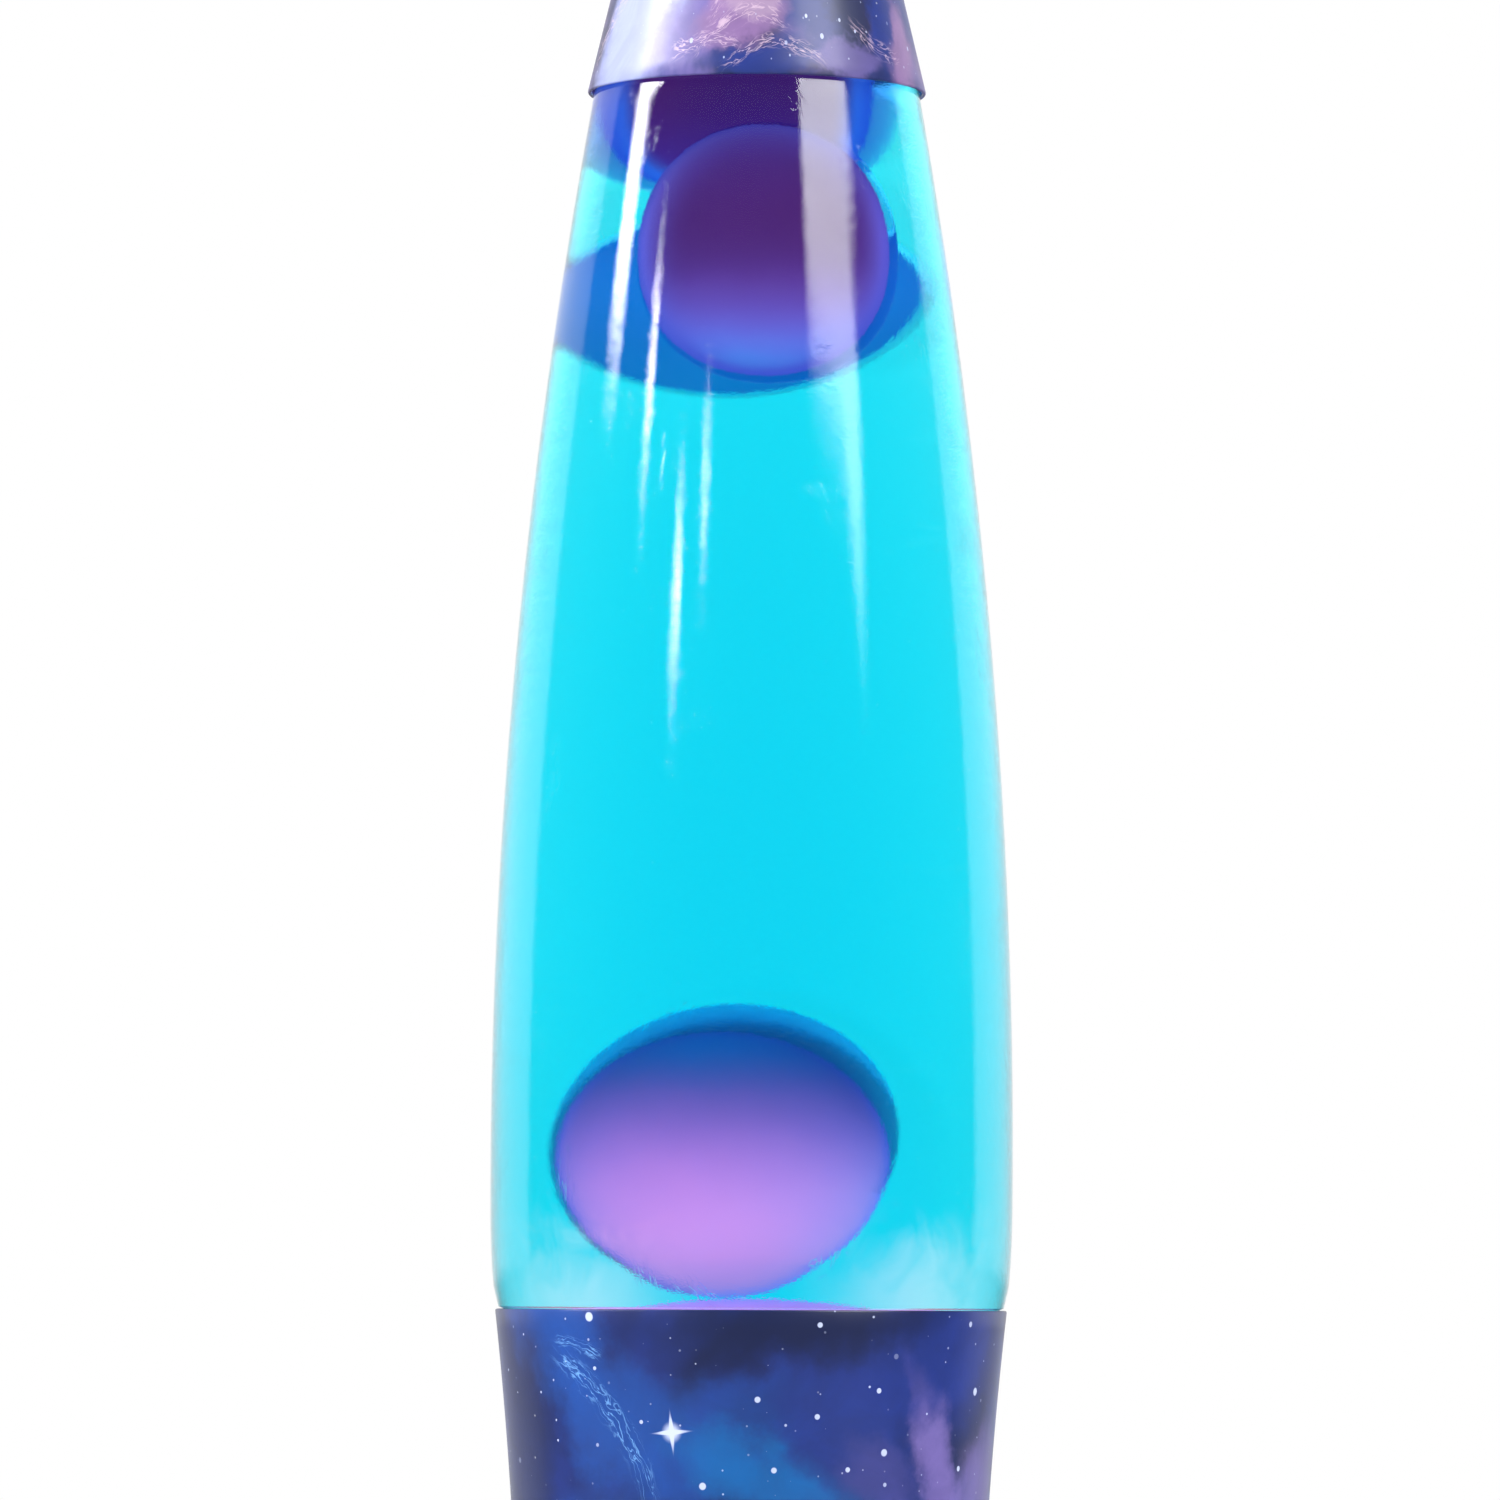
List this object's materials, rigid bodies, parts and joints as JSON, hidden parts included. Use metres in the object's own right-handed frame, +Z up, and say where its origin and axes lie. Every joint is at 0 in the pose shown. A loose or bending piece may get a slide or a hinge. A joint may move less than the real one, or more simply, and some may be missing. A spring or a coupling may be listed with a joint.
{
  "type": "lava lamp",
  "caption": "Table lava lamp: waisted printed metal base with a bulb inside, tapered glass bottle of blue liquid with moving purple wax, and a conical printed metal cap.",
  "frame": {"origin": "on the lamp's axis of revolution, at the underside of its rubber feet", "axes": "+Z up along the lamp's axis, -Y to the front, +Y to the rear where the cable outlet is, +X to the right seen from the front"},
  "size_m": [0.088, 0.088, 0.368],
  "materials": {
    "printed_metal": "spun aluminium with a satin all-over print of blue and violet clouds with small pale stars",
    "bottle_glass": "clear blown glass, lightly scratched",
    "liquid": "clear bright cyan liquid",
    "wax": "soft violet wax that lets some light through",
    "plain_steel": "bright zinc-plated pressed steel",
    "brass": "plain brass, lightly tarnished",
    "socket_ceramic": "off-white glazed ceramic",
    "black_plastic": "black moulded plastic",
    "foot_rubber": "soft black rubber",
    "bulb_glass": "thin frosted glass, silvered inside towards the neck",
    "tungsten": "bare filament wire",
    "liner": "soft sealing disc"
  },
  "bodies": {
    "base": {"base_shell": "printed_metal", "cord_grommet": "black_plastic", "bottom_plate": "plain_steel", "bottle_seat": "plain_steel", "rubber_foot_1": "foot_rubber", "rubber_foot_2": "foot_rubber", "rubber_foot_3": "foot_rubber", "rubber_foot_4": "foot_rubber", "socket_bracket": "plain_steel", "bracket_screw_1": "plain_steel", "bracket_screw_2": "plain_steel", "lamp_socket": "socket_ceramic", "socket_nut": "plain_steel", "socket_sleeve": "brass", "socket_contact": "brass"},
    "bulb_tip": {"bulb_contact": "brass"},
    "bulb": {"bulb_glass": "bulb_glass", "bulb_screw_cap": "brass", "bulb_insulator": "black_plastic", "filament_stem": "bulb_glass", "filament": "tungsten"},
    "bottle": {"bottle": "bottle_glass", "crown_cap": "plain_steel", "crown_liner": "liner", "liquid": "liquid", "heat_coil": "plain_steel", "wax_pool": "wax", "wax_top": "wax"},
    "wax_low": {"wax_blob_low": "wax"},
    "wax_front": {"wax_blob_front": "wax"},
    "wax_rear": {"wax_blob_rear": "wax"},
    "cap": {"cap": "printed_metal"}
  },
  "joints": [
    {"name": "bottle_lift", "type": "slide", "parent": "base", "child": "bottle", "axis": [0, 0, 1], "range_m": [0, 0.05]},
    {"name": "cap_lift", "type": "slide", "parent": "bottle", "child": "cap", "axis": [0, 0, 1], "range_m": [0, 0.045]},
    {"name": "bulb_rise", "type": "slide", "parent": "base", "child": "bulb_tip", "axis": [0, 0, 1], "range_m": [0, 0.0113]},
    {"name": "bulb_turn", "type": "hinge", "parent": "bulb_tip", "child": "bulb", "pos_m": [0, 0, 0.0316], "axis": [0, 0, 1], "range_deg": [0, 1440]},
    {"name": "wax_low_rise", "type": "slide", "parent": "bottle", "child": "wax_low", "axis": [0, 0, 1], "range_m": [0, 0.045]},
    {"name": "wax_front_sink", "type": "slide", "parent": "bottle", "child": "wax_front", "axis": [0, 0, 1], "range_m": [-0.038, 0]},
    {"name": "wax_rear_sink", "type": "slide", "parent": "bottle", "child": "wax_rear", "axis": [0, 0, 1], "range_m": [-0.036, 0]}
  ],
  "couplings": [
    {"joint": "bulb_rise", "follows": "bulb_turn", "m_per_rad": 0.00044882}
  ]
}
